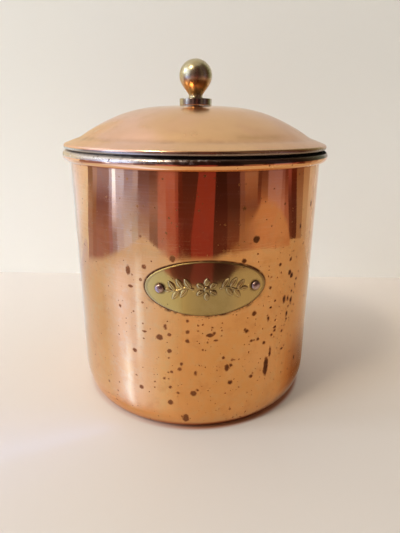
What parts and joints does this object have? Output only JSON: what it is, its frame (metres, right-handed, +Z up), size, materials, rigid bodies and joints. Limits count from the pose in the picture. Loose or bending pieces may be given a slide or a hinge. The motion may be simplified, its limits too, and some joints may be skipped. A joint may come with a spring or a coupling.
{
  "type": "tea caddy",
  "caption": "Round copper tea caddy with a rolled rim, a riveted oval brass plate and a domed lift-off lid with a brass knob.",
  "frame": {"origin": "centre of the flat base, on the surface that the caddy stands on", "axes": "+Z up along the axis of the canister, -Y towards the middle of the oval plate"},
  "size_m": [0.1476, 0.1476, 0.1882],
  "materials": {
    "canister_copper": "polished copper, tinned inside and over the rim, with dark spots",
    "steel_wire": "drawn wire",
    "plate_brass": "aged satin brass with a raised ornament",
    "rivet_copper": "worn copper",
    "lid_copper": "satin copper, tinned underneath",
    "tinned_copper": "wiped tin",
    "disc_brass": "dark aged brass",
    "knob_brass": "polished brass",
    "screw_brass": "plain machined brass",
    "washer_steel": "plain zinc-plated steel"
  },
  "bodies": {
    "canister": {"canister_body": "canister_copper", "rim_wire": "steel_wire", "name_plate": "plate_brass", "plate_rivet_left": "rivet_copper", "plate_rivet_right": "rivet_copper"},
    "lid": {"lid_dome": "lid_copper", "lid_collar": "tinned_copper", "knob_base_disc": "disc_brass", "knob": "knob_brass", "knob_screw": "screw_brass", "screw_washer": "washer_steel"}
  },
  "joints": [
    {"name": "lid_lift", "type": "slide", "parent": "canister", "child": "lid", "axis": [0, 0, 1], "range_m": [0, 0.12]}
  ]
}
